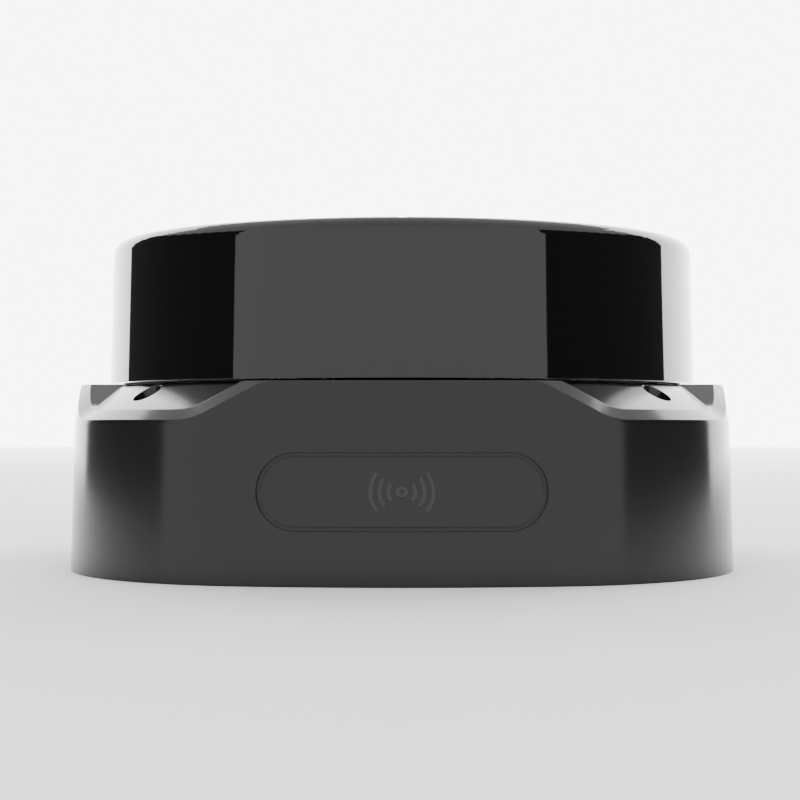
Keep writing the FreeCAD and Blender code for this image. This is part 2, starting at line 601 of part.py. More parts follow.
keep("stator_windings", group(around(teeth, winding, "winding_turn"), "winding_set"))
MAGNET_IN = "(stator_round + air_gap)"
MAGNET_OUT = "(%s + magnet_thick)" % MAGNET_IN
BELL_OUT = "(%s + bell_wall)" % MAGNET_OUT
BELL_UNDER = "bell_top - bell_wall"
keep("magnet_ring", ring("magnet_body", MAGNET_IN, MAGNET_OUT, "stator_base - magnet_low",
                         "%s + magnet_high" % STATOR_TOP))
keep("rotor_bell", turned("bell_body", [
    ("shaft_round", SEAT_HIGH_TOP), ("shaft_round + sleeve_wall", SEAT_HIGH_TOP),
    ("shaft_round + sleeve_wall", BELL_UNDER), (MAGNET_OUT, BELL_UNDER), (MAGNET_OUT, "bell_base"),
    (BELL_OUT, "bell_base"), (BELL_OUT, "bell_top"), ("shaft_round", "bell_top"),
]))
comb_ring = ring("comb_ring", MAGNET_OUT, BELL_OUT, "bell_base - comb_drop", "bell_base")
comb_slots = around(SIZES["comb_count"], lambda: block("4 * bell_wall", "comb_slot", "comb_drop", BELL_OUT, 0,
                                                         "bell_base - comb_drop - comb_root", "comb_slot"),
                    "comb_turn")
keep("encoder_comb", cut(comb_ring, join(comb_slots, "comb_slots"), "comb_cut"))
FORK_MIDDLE = "(%s - bell_wall / 2)" % BELL_OUT
fork = [block("fork_long", "fork_wide", "fork_floor", FORK_MIDDLE, 0, PLUG_BASE, "fork_floor")]
fork += [block("fork_arm", "fork_wide", "fork_tall", "%s + %d * fork_reach" % (FORK_MIDDLE, side), 0,
               PLUG_BASE, "fork_arm") for side in (-1, 1)]
keep("photo_sensor", join(fork, "sensor_fork"))

# ---- contactless power and light links -----------------------------------------------------------------
DECK_UNDER = "(deck_height - deck_wall)"
PLATFORM_TOP = "(head_bottom + platform_thick)"


def coil_ring(name, low, high):
    keep(name, ring(name + "_body", "coil_inner", "coil_outer", low, high))


coil_ring("base_coil", "%s - coil_thick" % DECK_UNDER, DECK_UNDER)
coil_ring("base_ferrite", "%s - coil_thick - ferrite_thick" % DECK_UNDER, "%s - coil_thick" % DECK_UNDER)
coil_ring("head_coil", PLATFORM_TOP, "%s + coil_thick" % PLATFORM_TOP)
coil_ring("head_ferrite", "%s + coil_thick" % PLATFORM_TOP, "rotor_board_base")
keep("light_sender", cylinder("lamp_round", "lamp_tall", z="plate_thick", name="sender_lamp"))
keep("light_receiver", cylinder("lamp_round", "lamp_thin", z="rotor_board_base - lamp_thin",
                                name="receiver_eye"))

# ---- head ------------------------------------------------------------------------------------------------
COVER_INSIDE = "(head_low - head_wall)"
COVER_LEAN = "head_taper * platform_thick / (total_height - head_bottom)"
PLATFORM_EDGE = "%s - cover_gap - %s" % (COVER_INSIDE, COVER_LEAN)
platform = turned("platform_body", [
    ("shaft_round", "bell_top"), ("hub_round", "bell_top"), ("hub_round", "head_bottom"),
    (PLATFORM_EDGE, "head_bottom"), (PLATFORM_EDGE, PLATFORM_TOP), ("shaft_round", PLATFORM_TOP),
])
SCREW_CIRCLE = "(%s - cover_screw_in)" % COVER_INSIDE
cover_spots = [("%s * cos(%d deg)" % (SCREW_CIRCLE, a), "%s * sin(%d deg)" % (SCREW_CIRCLE, a))
               for a in (90, 210, 330)]
platform_holes = []
for spot in cover_spots:
    under = "head_bottom - platform_thick"
    platform_holes.append(cylinder("screw_shank + way_clear", "platform_thick * 3", *spot, under,
                                   name="cover_way"))
    platform_holes.append(cylinder("screw_head + board_clear", "platform_thick * 1.5", *spot, under,
                                   name="cover_sink"))
keep("rotor_platform", cut(platform, join(platform_holes, "platform_holes"), "platform_cut"))


def dome(name, inset):
    """A drafted drum under a shallow crown."""
    drum = doc.addObject("Part::Cone", name + "_drum")
    bind(drum, "Radius1", "head_low - (%s)" % inset)
    bind(drum, "Radius2", "head_high - (%s)" % inset)
    bind(drum, "Height", "total_height - head_bottom")
    place(drum, 0, 0, "head_bottom")
    crown = doc.addObject("Part::Sphere", name + "_crown")
    ball = "((head_high ^ 2 + crown_rise ^ 2) / (2 * crown_rise))"
    bind(crown, "Radius", "%s - (%s)" % (ball, inset))
    place(crown, 0, 0, "total_height - %s" % ball)
    return overlap([drum, crown], name)


cover_out = dome("cover_outside", "0")
doc.recompute()
top_edges = [i + 1 for i, e in enumerate(cover_out.Shape.Edges)
             if not e.Degenerated and e.Curve.TypeId == "Part::GeomCircle"
             and e.CenterOfMass.z > size("head_shoulder - head_round")]
rounded = doc.addObject("Part::Fillet", "cover_rounded")
rounded.Base = cover_out
rounded.Edges = [(i, size("head_round"), size("head_round")) for i in top_edges]
cover_posts = [cylinder("cover_post", "total_height - %s - head_wall - cover_post_gap" % PLATFORM_TOP, *spot,
                        PLATFORM_TOP, name="cover_post") for spot in cover_spots]
cover_hollow = cut(dome("cover_inside", "head_wall"), join(cover_posts, "cover_posts"), "cover_hollow")
cover_taps = [cylinder("screw_shank", "cover_tap", *spot, "%s - 1" % PLATFORM_TOP, name="cover_tap")
              for spot in cover_spots]
dimple = cylinder("dimple_round", "total_height", y="-dimple_place", z="head_shoulder - dimple_deep",
                  name="dimple")
keep("head_cover", cut(rounded, join([cover_hollow, dimple] + cover_taps, "cover_space"), "cover_cut"))


def cover_screw(spot):
    """A screw hung head down, its head sunk in the platform."""
    upright = screw("screw_shank", "screw_head", "0", "cover_screw_long", "platform_thick / 2", (0, 0))
    holder = group([upright], "cover_screw_holder")
    holder.Placement.Rotation = FreeCAD.Rotation(FreeCAD.Vector(1, 0, 0), 180)
    return place(holder, *spot, "head_bottom + platform_thick / 2 + cover_screw_long")


keep("cover_screws", group([cover_screw(spot) for spot in cover_spots], "cover_screw_set"))
ROTOR_BOARD_TOP = "(rotor_board_base + board_thick)"
keep("rotor_board", ring("rotor_board_body", "shaft_round + rotor_board_gap", "rotor_board_round",
                         "rotor_board_base", ROTOR_BOARD_TOP))
keep("rotor_chips", chips("head_chip", ROTOR_BOARD_TOP, [
    (-9, 4, 6, 6, 1.0), (8, 5, 5, 4, 1.2), (-16, 8, 4, 4, 0.9), (16, 10, 4, 5, 1.1)]))


def along(radius, length, x, start, name):
    """A rod along Y at the height of the lenses."""
    return cylinder(radius, length, x, start, "lens_height", ALONG_Y, name)


def barrel(name, x, radius, length):
    """A lens tube and its lens; returns the room the tube needs in the bracket."""
    bore_size = "%s - barrel_wall" % radius
    tube = along(radius, length, x, "-optics_front", name + "_tube")
    bore = along(bore_size, "half_width * 2", x, "-half_width", name + "_bore")
    keep(name + "_barrel", cut(tube, bore, name + "_barrel_cut"))
    glass = along(bore_size, "lens_thick * 2", x, "-optics_front", name + "_glass")
    curve = doc.addObject("Part::Sphere", name + "_curve")
    bind(curve, "Radius", "%s * 2" % radius)
    place(curve, x, "-optics_front + lens_sunk + %s * 2" % radius, "lens_height")
    back = along("%s * 2" % radius, "half_width", x, "-optics_front + lens_sunk + lens_thick", name + "_back")
    keep(name + "_lens", cut(overlap([glass, curve], name + "_lens_blank"), back, name + "_lens_cut"))
    return along(radius, "half_width", x, "-optics_front", name + "_seat")


seats = [barrel("laser", "-laser_place", "laser_round", "laser_length"),
         barrel("receiver", "eye_place", "eye_round", "eye_length")]
bracket = block("2 * (rotor_board_round - bracket_inset)", "bracket_thick", "bracket_tall", 0,
                "-optics_front / 2 - bracket_back", ROTOR_BOARD_TOP, "bracket_bar")
keep("optics_bracket", cut(bracket, join(seats, "barrel_seats"), "bracket_cut"))
BOARD_FACE = "(-optics_front + eye_length + sensor_gap)"
DIODE_LONG = "(eye_length - laser_length + sensor_gap + diode_sunk)"
keep("sensor_board", block("2 * (rotor_board_round - sensor_inset)", "board_thick", "bracket_tall", 0,
                           "%s + board_thick / 2" % BOARD_FACE, ROTOR_BOARD_TOP, "sensor_board_bar"))
keep("sensor_chip", block("die_side", "die_thick", "die_side", "eye_place", "%s - die_thick / 2" % BOARD_FACE,
                          "lens_height - die_side / 2", "sensor_die"))
keep("laser_diode", along("diode_round", DIODE_LONG, "-laser_place", "%s - %s" % (BOARD_FACE, DIODE_LONG),
                          "diode_can"))
keep("balance_weight", block("weight_long", "weight_wide", "weight_tall", 0, "weight_place", ROTOR_BOARD_TOP,
                             "weight_bar"))

doc.recompute()
failed = [o.Name for o in doc.Objects if set(o.State) & {"Invalid", "Error"}]
for name, thing in SUB_PARTS.items():
    if thing.Shape.isNull() or not thing.Shape.isValid() or not thing.Shape.Solids:
        failed.append(name)
if failed:
    raise RuntimeError("these did not build: " + ", ".join(failed))

os.makedirs("parts", exist_ok=True)
for name, thing in SUB_PARTS.items():
    thing.Shape.exportStep("parts/%s.step" % name)
    print(name, len(thing.Shape.Solids), round(thing.Shape.Volume, 2))
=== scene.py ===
import json
import math

import bpy
import numpy as np
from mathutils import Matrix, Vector


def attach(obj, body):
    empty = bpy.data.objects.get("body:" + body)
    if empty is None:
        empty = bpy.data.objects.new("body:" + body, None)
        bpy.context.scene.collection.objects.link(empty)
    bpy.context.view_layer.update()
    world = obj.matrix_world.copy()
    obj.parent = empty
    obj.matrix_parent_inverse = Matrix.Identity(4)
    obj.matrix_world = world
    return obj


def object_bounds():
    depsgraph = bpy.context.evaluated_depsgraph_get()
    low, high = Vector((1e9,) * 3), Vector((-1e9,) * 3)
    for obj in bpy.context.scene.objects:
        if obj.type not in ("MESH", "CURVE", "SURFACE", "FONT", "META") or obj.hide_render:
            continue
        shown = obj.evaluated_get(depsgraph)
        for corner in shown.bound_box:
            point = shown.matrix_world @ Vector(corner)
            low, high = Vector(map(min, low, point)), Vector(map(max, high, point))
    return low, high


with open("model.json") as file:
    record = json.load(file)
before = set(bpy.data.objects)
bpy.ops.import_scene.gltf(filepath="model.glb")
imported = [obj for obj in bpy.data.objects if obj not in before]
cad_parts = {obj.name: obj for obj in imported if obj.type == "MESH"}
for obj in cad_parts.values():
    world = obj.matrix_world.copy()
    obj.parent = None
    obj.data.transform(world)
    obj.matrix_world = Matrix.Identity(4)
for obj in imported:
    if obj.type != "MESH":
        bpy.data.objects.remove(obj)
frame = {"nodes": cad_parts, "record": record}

CAD_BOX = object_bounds()

bl_info = {
    "name": "Spinning range scanner",
    "version": (1, 0, 0),
    "blender": (4, 5, 0),
    "location": "3D View > Sidebar > Scanner",
    "description": "Skins, finishes and studio for a small spinning range scanner",
    "category": "Object",
}

MM = 0.001

# finishes
DRIFT_SCALE = 90.0  # slow change of shade and sheen across a surface
DARKEST = 0.82  # darkest shade, as a share of the colour
COAT_ROUGHNESS = 0.08
EDGE_SHARPNESS = (0.53, 0.62)  # mesh sharpness where rubbing starts and where it is full
RUBBED_PATCHES = (0.35, 0.65)
DUST_SPECKS = (0.52, 0.72)
DUST_SLOPE = (0.5, 1.0)  # upward share of the normal where dust starts to lie and where it is full
DUST_COLOUR = (0.34, 0.33, 0.32)
DUST_ROUGHNESS = 0.6  # added to the roughness under full dust
COVER_DUST = 0.5  # the polished cover's dust, as a share of the shell's
EDGE_SAMPLES = 6
FILM_THICKNESS = 340.0  # nanometres
FILM_IOR = 1.7
TRACE_SHARE = 0.45
TRACE_GREEN = (0.05, 0.22, 0.07)
PAD_EDGE = (0.16, 0.14)
PAD_GOLD = (0.75, 0.6, 0.25)
WIRE_RELIEF = 0.06 * MM

# the scanning mark's mesh
DOT_STEPS = 49
ARC_STEPS = 33
SHARP_EDGE = math.radians(35)
# the bar's rounded top: place across as a share of its width, and height as a share of its relief
BAR_TOP = [(-0.5, 0.45), (-0.34, 0.85), (-0.12, 1.0), (0.12, 1.0), (0.34, 0.85), (0.5, 0.45)]

# the stage
FLOOR_REACH = 6.0
FLOOR_GAP = 0.02 * MM  # keeps the floor off the underside
FLOOR_ROUGHNESS = 0.9
FLOOR_SPECULAR = 0.1
CARD_COLUMNS = 32
SENSOR_WIDTH = 36
NEAREST = 0.01
# each card: first and last turn from the front in degrees, radius and height in metres, the stage
# setting that holds its brightness, and whether the camera sees it
CARDS = {
    "front_card": (-64, 54, 0.55, 0.45, "front", False),
    "left_flag": (-128, -64, 0.55, 0.35, "flag", False),
    "right_flag": (54, 117, 0.55, 0.35, "flag", False),
    "backdrop": (117, 235, 0.9, 0.9, "backdrop", True),
}


# ---- properties ---------------------------------------------------------------------------------
def length(name, description, default):
    return bpy.props.FloatProperty(
        name=name, description=description, default=default, unit="LENGTH", precision=5)


def tint(name, description, default):
    return bpy.props.FloatVectorProperty(
        name=name, description=description, default=default, subtype="COLOR", size=3)


def share(name, description, default):
    return bpy.props.FloatProperty(name=name, description=description, default=default, subtype="FACTOR")


def angle(name, description, degrees):
    return bpy.props.FloatProperty(
        name=name, description=description, default=math.radians(degrees), subtype="ANGLE")


def brightness(name, description, default):
    return bpy.props.FloatProperty(name=name, description=description, default=default)


class ScannerHousingSettings(bpy.types.PropertyGroup):
    half_width: length("Half width", "Half the base's width at its foot", 38.5 * MM)
    face_bulge: length("Face bulge", "Radius of each bulged face", 95 * MM)
    draft: angle("Wall draft", "How far the walls lean inwards as they rise", 1.5)
    capsule_height: length("Capsule height", "Middle of the capsule above the foot", 9.5 * MM)
    colour: tint("Shell colour", "Satin black plastic", (0.0085, 0.0085, 0.0088))
    roughness: share("Shell roughness", "How satin the shell is", 0.15)
    specular: share("Shell reflection", "Strength of the shell's reflections", 0.33)
    edge: length("Shell edges", "Radius with which the shell's edges catch light", 0.12 * MM)


class ScannerHeadSettings(bpy.types.PropertyGroup):
    colour: tint("Cover colour", "Black infrared-pass plastic", (0.0012, 0.0012, 0.0014))
    roughness: share("Cover roughness", "Polish of the cover", 0.035)
    edge: length("Cover edges", "Radius with which the cover's edges catch light", 0.04 * MM)


class ScannerMarkSettings(bpy.types.PropertyGroup):
    dot_radius: length("Dot", "Radius of the dot's ring", 0.42 * MM)
    first_arc: length("First arc", "Radius of the innermost pair of arcs", 1.35 * MM)
    arc_step: length("Arc step", "From one pair of arcs to the next", 0.9 * MM)
    arc_pairs: bpy.props.IntProperty(name="Arc pairs", description="How many pairs of arcs", default=3)
    reach: angle("Arc reach", "Half the turn that each arc spans", 38)
    width: length("Line width", "Width of the raised lines", 0.42 * MM)
    relief: length("Relief", "How far the lines stand off the face", 0.1 * MM)
    root: length("Root", "How deep the lines reach into the face", 0.12 * MM)
    colour: tint("Mark colour", "Black, a little duller than the shell", (0.006, 0.006, 0.0062))
    roughness: share("Mark roughness", "How satin the mark is", 0.22)


class ScannerFinishSettings(bpy.types.PropertyGroup):
    wear: share("Edge wear", "How rubbed the metal edges are", 0.35)
    dust: share("Dust", "How much dust lies on upward faces", 0.02)


class ScannerStageSettings(bpy.types.PropertyGroup):
    distance: length("Camera distance", "From the spin axis to the lens", 215 * MM)
    eye_height: length("Eye height", "Lens height above the floor", 16.7 * MM)
    lens: bpy.props.FloatProperty(
        name="Lens", description="Focal length on a 36 mm sensor", default=79.8, unit="CAMERA")
    rise: angle("Rise", "Upward tilt of the camera", 0.646)
    swing: angle("Swing", "Sideways turn of the camera", 0.065)
    floor: tint("Floor", "Pale floor", (0.9, 0.9, 0.9))
    room: brightness("Room light", "Brightness of the white room", 1.6)
    backdrop: brightness("Backdrop", "Brightness of the white backdrop", 8.0)
    front: brightness("Front light", "Brightness of the big front card", 1.8)
    flag: brightness("Flags", "Brightness of the dark side flags", 0.12)


SETTINGS = {
    "scanner_housing": ScannerHousingSettings,
    "scanner_head": ScannerHeadSettings,
    "scanner_mark": ScannerMarkSettings,
    "scanner_finish": ScannerFinishSettings,
    "scanner_stage": ScannerStageSettings,
}


# ---- shader helpers -----------------------------------------------------------------------------
def add(tree, kind, **values):
    """A node with its sockets, or else its own settings, set by name."""
    node = tree.nodes.new(kind)
    for name, value in values.items():
        key = name.replace("_", " ")
        if key in node.inputs:
            node.inputs[key].default_value = value
        else:
            setattr(node, name, value)
    return node


def object_place(tree):
    """Where each point lies on its own part."""
    return tree.nodes.new("ShaderNodeTexCoord").outputs["Object"]


def noise(tree, scale, **values):
    texture = add(tree, "ShaderNodeTexNoise", **values)
    tree.links.new(object_place(tree), texture.inputs["Vector"])
    tree.links.new(scale, texture.inputs["Scale"])
    return texture.outputs["Fac"]


def ramp(tree, source, limits):
    """Map source from the two limits to 0..1."""
    low, high = limits
    node = add(tree, "ShaderNodeMapRange", From_Min=low, From_Max=high)
    tree.links.new(source, node.inputs["Value"])
    return node.outputs["Result"]


def maths(tree, operation, *values):
    node = add(tree, "ShaderNodeMath", operation=operation)
    for socket, value in zip(node.inputs, values):
        if isinstance(value, (int, float)):
            socket.default_value = value
        else:
            tree.links.new(value, socket)
    return node.outputs["Value"]


def blend_colour(tree, mask, first, second):
    """Go from the first colour to the second by the mask; the first may be a socket."""
    node = add(tree, "ShaderNodeMix", data_type="RGBA")
    tree.links.new(mask, node.inputs["Factor"])
    if isinstance(first, tuple):
        node.inputs["A"].default_value = (*first, 1)
    else:
        tree.links.new(first, node.inputs["A"])
    node.inputs["B"].default_value = (*second, 1)
    return node.outputs["Result"]


# ---- shared effects -----------------------------------------------------------------------------
def new_group(name, inputs, outputs):
    group = bpy.data.node_groups.new(name, "ShaderNodeTree")
    for label, kind, value in inputs:
        socket = group.interface.new_socket(label, in_out="INPUT", socket_type=kind)
        socket.default_value = value
    for label, kind in outputs:
        group.interface.new_socket(label, in_out="OUTPUT", socket_type=kind)
    return group, group.nodes.new("NodeGroupInput"), group.nodes.new("NodeGroupOutput")


def grain_group():
    """Moulded grain: small pebbles with a slow drift of sheen under them."""
    group, inlet, outlet = new_group(
        "Moulded grain",
        [("Scale", "NodeSocketFloat", 2500.0), ("Drift Scale", "NodeSocketFloat", DRIFT_SCALE)],
        [("Height", "NodeSocketFloat"), ("Drift", "NodeSocketFloat")],
    )
    pebbles = add(group, "ShaderNodeTexVoronoi")
    group.links.new(object_place(group), pebbles.inputs["Vector"])
    group.links.new(inlet.outputs["Scale"], pebbles.inputs["Scale"])
    fine = noise(group, inlet.outputs["Scale"], Detail=3.0, Roughness=0.6)
    drift = noise(group, inlet.outputs["Drift Scale"], Detail=2.0)
    height = maths(group, "ADD", maths(group, "MULTIPLY", pebbles.outputs["Distance"], 0.5), fine)
    group.links.new(height, outlet.inputs["Height"])
    group.links.new(drift, outlet.inputs["Drift"])
    return group


def wear_group():
    """Rubbed edges: a mask from how sharp the mesh is, broken up by noise."""
    group, inlet, outlet = new_group(
        "Edge wear",
        [("Amount", "NodeSocketFloat", 0.5), ("Scale", "NodeSocketFloat", 900.0)],
        [("Mask", "NodeSocketFloat")],
    )
    shape = group.nodes.new("ShaderNodeNewGeometry")
    sharp = ramp(group, shape.outputs["Pointiness"], EDGE_SHARPNESS)
    patches = ramp(group, noise(group, inlet.outputs["Scale"], Detail=4.0), RUBBED_PATCHES)
    broken = maths(group, "MULTIPLY", sharp, patches)
    mask = maths(group, "MULTIPLY", broken, inlet.outputs["Amount"])
    group.links.new(mask, outlet.inputs["Mask"])
    return group


def dust_group():
    """Dust on faces that look up: a mask of specks and thin haze."""
    group, inlet, outlet = new_group(
        "Settled dust",
        [("Amount", "NodeSocketFloat", 0.1), ("Scale", "NodeSocketFloat", 1500.0)],
        [("Mask", "NodeSocketFloat")],
    )
    shape = group.nodes.new("ShaderNodeNewGeometry")
    split = group.nodes.new("ShaderNodeSeparateXYZ")
    group.links.new(shape.outputs["Normal"], split.inputs["Vector"])
    specks = ramp(group, noise(group, inlet.outputs["Scale"], Detail=6.0, Roughness=0.7), DUST_SPECKS)
    upward = ramp(group, split.outputs["Z"], DUST_SLOPE)
    mask = maths(group, "MULTIPLY", maths(group, "MULTIPLY", specks, upward), inlet.outputs["Amount"])
    group.links.new(mask, outlet.inputs["Mask"])
    return group


def streak_group():
    """Drawn or rolled metal: fine lines across the direction with the largest scale."""
    group, inlet, outlet = new_group(
        "Drawn streaks",
        [("Scale", "NodeSocketVector", (200.0, 200.0, 9000.0))],
        [("Height", "NodeSocketFloat")],
    )
    stretch = group.nodes.new("ShaderNodeMapping")
    lines = add(group, "ShaderNodeTexNoise", Scale=1.0, Detail=5.0)
    group.links.new(object_place(group), stretch.inputs["Vector"])
    group.links.new(inlet.outputs["Scale"], stretch.inputs["Scale"])
    group.links.new(stretch.outputs["Vector"], lines.inputs["Vector"])
    group.links.new(lines.outputs["Fac"], outlet.inputs["Height"])
    return group


def edge_group():
    """Moulded edges: a normal that catches light on sharp edges as a small radius would."""
    group, inlet, outlet = new_group(
        "Moulded edge", [("Radius", "NodeSocketFloat", 0.1 * MM)], [("Normal", "NodeSocketVector")])
    bevel = add(group, "ShaderNodeBevel", samples=EDGE_SAMPLES)
    group.links.new(inlet.outputs["Radius"], bevel.inputs["Radius"])
    group.links.new(bevel.outputs["Normal"], outlet.inputs["Normal"])
    return group


GROUPS = {}


def use_group(tree, maker, **values):
    """Place a shared effect with this material's own values."""
    if maker not in GROUPS:
        GROUPS[maker] = maker()
    node = tree.nodes.new("ShaderNodeGroup")
    node.node_tree = GROUPS[maker]
    for name, value in values.items():
        node.inputs[name.replace("_", " ")].default_value = value
    return node


# ---- finishes -----------------------------------------------------------------------------------
def finish_material(name, colour, roughness, metallic=0.0, grain=2500.0, depth=0.02, spread=0.08,
                    worn=None, dust=0.0, coat=0.0, specular=0.5, streak=None, edge=None):
    """A surface with grain, drifting sheen, rubbed edges and dust, each at this piece's own scale.

    depth is the relief of the grain in millimetres, and spread how far the roughness drifts.
    """
    material = bpy.data.materials.new(name)
    material.use_nodes = True
    tree = material.node_tree
    shader = tree.nodes["Principled BSDF"]
    shader.inputs["Specular IOR Level"].default_value = specular
    shader.inputs["Metallic"].default_value = metallic
    shader.inputs["Coat Weight"].default_value = coat
    shader.inputs["Coat Roughness"].default_value = COAT_ROUGHNESS
    surface = use_group(tree, grain_group, Scale=grain, Drift_Scale=DRIFT_SCALE)
    drift = surface.outputs["Drift"]
    shade = blend_colour(tree, drift, tuple(c * DARKEST for c in colour), colour)
    rough = maths(tree, "MULTIPLY_ADD", drift, spread, roughness - spread / 2)
    height = surface.outputs["Height"]
    if worn:
        rubbed = use_group(tree, wear_group, Amount=bpy.context.scene.scanner_finish.wear)
        shade = blend_colour(tree, rubbed.outputs["Mask"], shade, worn)
    if dust:
        settled = use_group(tree, dust_group, Amount=dust).outputs["Mask"]
        shade = blend_colour(tree, settled, shade, DUST_COLOUR)
        rough = maths(tree, "ADD", rough, maths(tree, "MULTIPLY", settled, DUST_ROUGHNESS))
    if streak:
        lines = use_group(tree, streak_group, Scale=streak)
        height = maths(tree, "ADD", height, lines.outputs["Height"])
    bump = add(tree, "ShaderNodeBump", Strength=1.0, Distance=depth * MM)
    if edge:
        soft = use_group(tree, edge_group, Radius=edge)
        tree.links.new(soft.outputs["Normal"], bump.inputs["Normal"])
    tree.links.new(shade, shader.inputs["Base Color"])
    tree.links.new(rough, shader.inputs["Roughness"])
    tree.links.new(height, bump.inputs["Height"])
    tree.links.new(bump.outputs["Normal"], shader.inputs["Normal"])
    return material


def glass_material(name, colour):
    """Coated lens glass: clear and tinted, under a thin film, with a trace of dust."""
    material = finish_material(
        name, colour, 0.02, grain=4000.0, depth=0.0004, spread=0.02, dust=0.03, coat=0.6)
    shader = material.node_tree.nodes["Principled BSDF"]
    shader.inputs["Transmission Weight"].default_value = 0.75
    shader.inputs["Thin Film Thickness"].default_value = FILM_THICKNESS
    shader.inputs["Thin Film IOR"].default_value = FILM_IOR
    return material


def board_material(name, colour):
    """Solder mask over copper traces, with small gold pads."""
    material = finish_material(name, colour, 0.3, grain=3500.0, depth=0.004, dust=0.05, coat=0.4)
    tree = material.node_tree
    base = tree.nodes["Principled BSDF"].inputs["Base Color"]
    turn = add(tree, "ShaderNodeMapping", Rotation=(0, 0, math.radians(45)))
    traces = add(tree, "ShaderNodeTexBrick", Scale=260.0, Mortar_Size=0.06, Brick_Width=1.6, Row_Height=0.22)
    pads = add(tree, "ShaderNodeTexVoronoi", Scale=420.0, Randomness=0.25)
    tree.links.new(object_place(tree), turn.inputs["Vector"])
    tree.links.new(turn.outputs["Vector"], traces.inputs["Vector"])
    tree.links.new(object_place(tree), pads.inputs["Vector"])
    copper = maths(tree, "MULTIPLY", traces.outputs["Fac"], TRACE_SHARE)
    traced = blend_colour(tree, copper, base.links[0].from_socket, TRACE_GREEN)
    gilded = blend_colour(tree, ramp(tree, pads.outputs["Distance"], PAD_EDGE), traced, PAD_GOLD)
    tree.links.new(gilded, base)
    return material


def winding_material(name, colour):
    """Enamelled wire laid side by side."""
    material = finish_material(name, colour, 0.28, metallic=0.9, grain=5000.0)
    tree = material.node_tree
    turns = add(
        tree, "ShaderNodeTexWave", wave_type="RINGS", rings_direction="Z", Scale=1100.0, Distortion=0.4)
    tree.links.new(object_place(tree), turns.inputs["Vector"])
    bump = tree.nodes["Principled BSDF"].inputs["Normal"].links[0].from_node
    bump.inputs["Distance"].default_value = WIRE_RELIEF
    tree.links.new(turns.outputs["Fac"], bump.inputs["Height"])
    return material


# what each of the record's slots is made of: its maker and the maker's values
FINISHES = {
    "dark_plate": (finish_material, dict(
        colour=(0.02, 0.02, 0.021), roughness=0.42, dust=0.05, worn=(0.06, 0.06, 0.06))),
    "brass_insert": (finish_material, dict(
        colour=(0.62, 0.42, 0.15), roughness=0.25, metallic=1.0, worn=(0.85, 0.68, 0.35))),
    "black_screw": (finish_material, dict(
        colour=(0.03, 0.03, 0.033), roughness=0.33, metallic=0.9, grain=5000.0, worn=(0.35, 0.34, 0.33))),
    "board_green": (board_material, dict(colour=(0.01, 0.09, 0.035))),
    "chip_black": (finish_material, dict(
        colour=(0.015, 0.015, 0.016), roughness=0.45, grain=6000.0, depth=0.006)),
    "socket_white": (finish_material, dict(
        colour=(0.72, 0.7, 0.64), roughness=0.38, grain=3500.0, depth=0.008, dust=0.1)),
    "gold_pin": (finish_material, dict(
        colour=(0.85, 0.62, 0.22), roughness=0.16, metallic=1.0, worn=(0.9, 0.8, 0.5))),
    "spindle_alloy": (finish_material, dict(
        colour=(0.62, 0.63, 0.65), roughness=0.3, metallic=1.0, streak=(200, 200, 9000),
        worn=(0.8, 0.8, 0.82))),
    "bright_steel": (finish_material, dict(
        colour=(0.7, 0.7, 0.7), roughness=0.12, metallic=1.0, grain=6000.0, depth=0.001,
        streak=(300, 300, 12000))),
    "lamination": (finish_material, dict(
        colour=(0.3, 0.3, 0.32), roughness=0.4, metallic=1.0, streak=(100, 100, 16000))),
    "copper_wire": (winding_material, dict(colour=(0.55, 0.19, 0.05))),
    "ferrite_black": (finish_material, dict(
        colour=(0.03, 0.028, 0.027), roughness=0.6, grain=3000.0, depth=0.03)),
    "lamp_clear": (glass_material, dict(colour=(0.85, 0.9, 1.0))),
    "magnet_grey": (finish_material, dict(
        colour=(0.42, 0.42, 0.44), roughness=0.28, metallic=1.0, worn=(0.7, 0.7, 0.72))),
    "rotor_plastic": (finish_material, dict(
        colour=(0.025, 0.026, 0.028), roughness=0.38, grain=3000.0, dust=0.04)),
    "cage_brass": (finish_material, dict(
        colour=(0.6, 0.43, 0.18), roughness=0.3, metallic=1.0, grain=5000.0)),
    "lens_glass": (glass_material, dict(colour=(0.5, 0.42, 0.75))),
}


MADE = {}


def dress(name, material):
    """Put a material in every place that the CAD part has for one."""
    for place in frame["nodes"][name].material_slots:
        place.material = material


def finish_nodes(names):
    """Give each named CAD part the finish that its record slot asks for."""
    slots = {part["node"]: part["material_slot"] for part in frame["record"]["subparts"]}
    for name in names:
        slot = slots[name]
        if slot not in MADE:
            maker, values = FINISHES[slot]
            MADE[slot] = maker("finish " + slot, **values)
        dress(name, MADE[slot])


# ---- meshes -------------------------------------------------------------------------------------
def new_piece(name, vertices, faces, material, body):
    mesh = bpy.data.meshes.new(name)
    mesh.from_pydata(vertices, [], faces)
    mesh.validate()
    mesh.update()
    mesh.shade_smooth()
    mesh.set_sharp_from_angle(angle=SHARP_EDGE)
    piece = bpy.data.objects.new(name, mesh)
    bpy.context.scene.collection.objects.link(piece)
    mesh.materials.append(material)
    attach(piece, body)
    return piece


def face_at(x, z):
    """Depth of the bulged front face at a place across and a height on it."""
    housing = bpy.context.scene.scanner_housing
    inset = z * math.tan(housing.draft)
    back = housing.face_bulge - housing.half_width
    return -(math.sqrt((housing.face_bulge - inset) ** 2 - x * x) - back)


